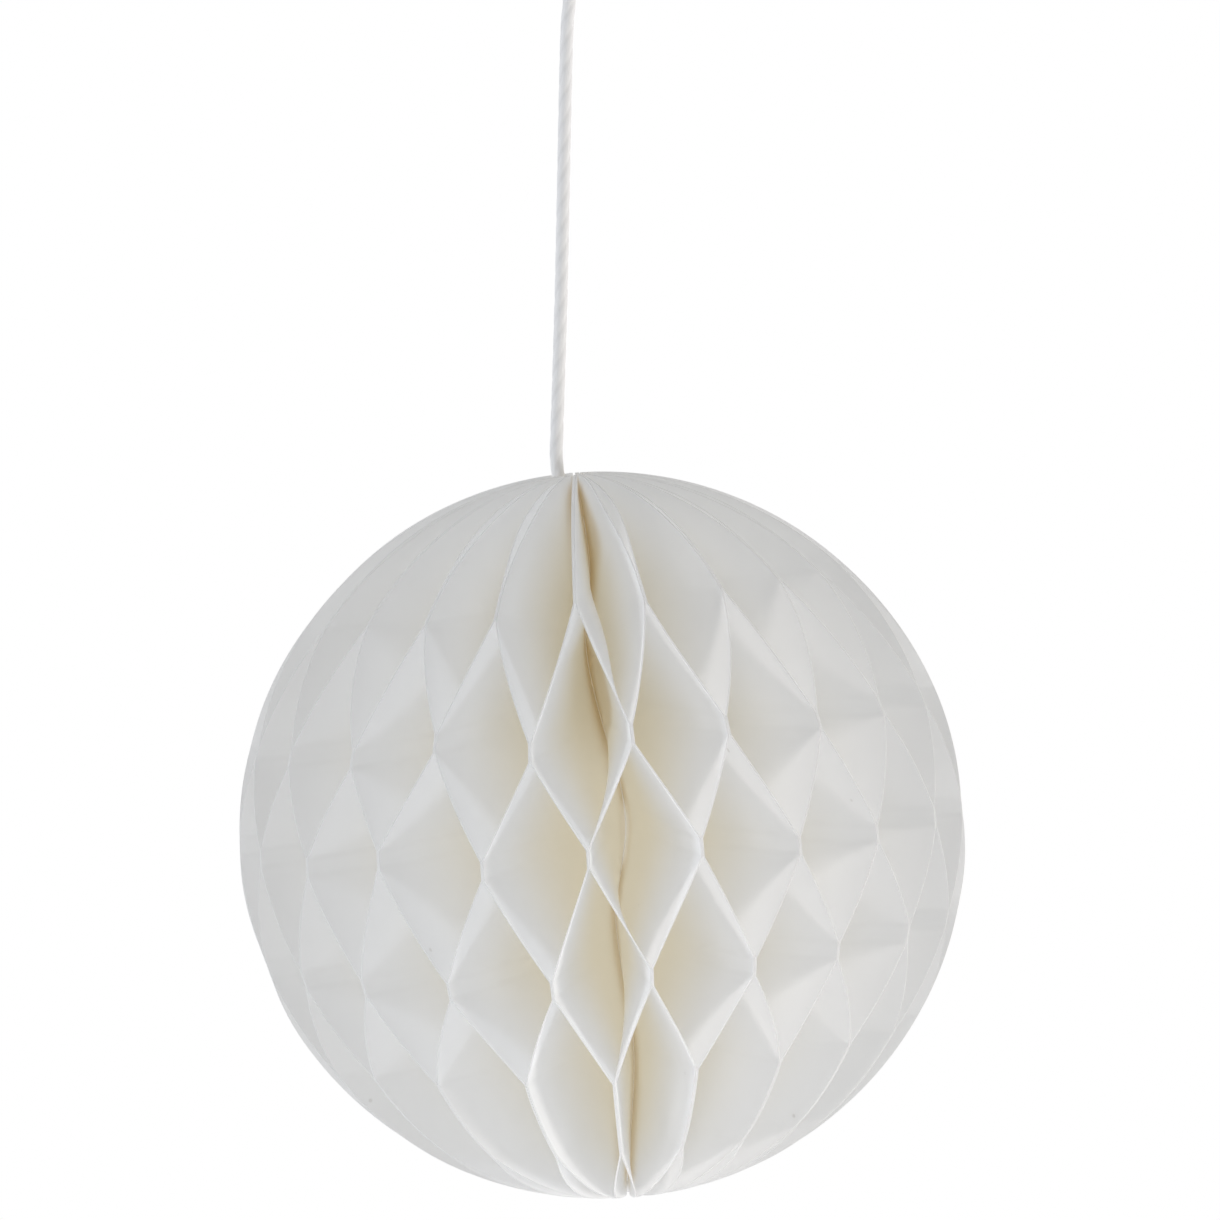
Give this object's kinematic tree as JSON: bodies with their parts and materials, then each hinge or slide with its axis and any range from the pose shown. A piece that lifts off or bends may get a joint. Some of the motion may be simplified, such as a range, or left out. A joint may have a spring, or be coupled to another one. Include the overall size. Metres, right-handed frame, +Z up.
{
  "type": "hanging honeycomb paper ball",
  "caption": "Round honeycomb paper ball of half-round leaves glued in alternate rows of stripes and fanned into diamond cells, hanging on a twisted cord with a knotted loop.",
  "frame": {"origin": "the point inside the top of the hanging loop that a hook bears on", "axes": "+Z up along the hanging cord, -Y towards the viewer of the picture, +X to the right of that view"},
  "size_m": [0.0997, 0.1, 0.1913],
  "materials": {
    "paper": "matt off-white paper, a little translucent",
    "cord": "white twisted cotton cord"
  },
  "bodies": {
    "root": {"leaf_01": "paper", "leaf_02": "paper", "leaf_03": "paper", "leaf_04": "paper", "leaf_05": "paper", "leaf_06": "paper", "leaf_07": "paper", "leaf_08": "paper", "leaf_09": "paper", "leaf_10": "paper", "leaf_11": "paper", "leaf_12": "paper", "leaf_13": "paper", "leaf_14": "paper", "leaf_15": "paper", "leaf_16": "paper", "leaf_17": "paper", "leaf_18": "paper", "leaf_19": "paper", "leaf_20": "paper", "leaf_21": "paper", "leaf_22": "paper", "leaf_23": "paper", "leaf_24": "paper", "leaf_25": "paper", "leaf_26": "paper", "leaf_27": "paper", "leaf_28": "paper", "leaf_29": "paper", "leaf_30": "paper", "leaf_31": "paper", "leaf_32": "paper", "leaf_33": "paper", "leaf_34": "paper", "leaf_35": "paper", "leaf_36": "paper", "leaf_37": "paper", "leaf_38": "paper", "leaf_39": "paper", "leaf_40": "paper", "leaf_41": "paper", "leaf_42": "paper", "leaf_43": "paper", "leaf_44": "paper", "stop_knot": "cord", "spine_cord": "cord", "hanging_cord": "cord", "loop_knot": "cord", "hanging_loop": "cord"}
  },
  "joints": []
}
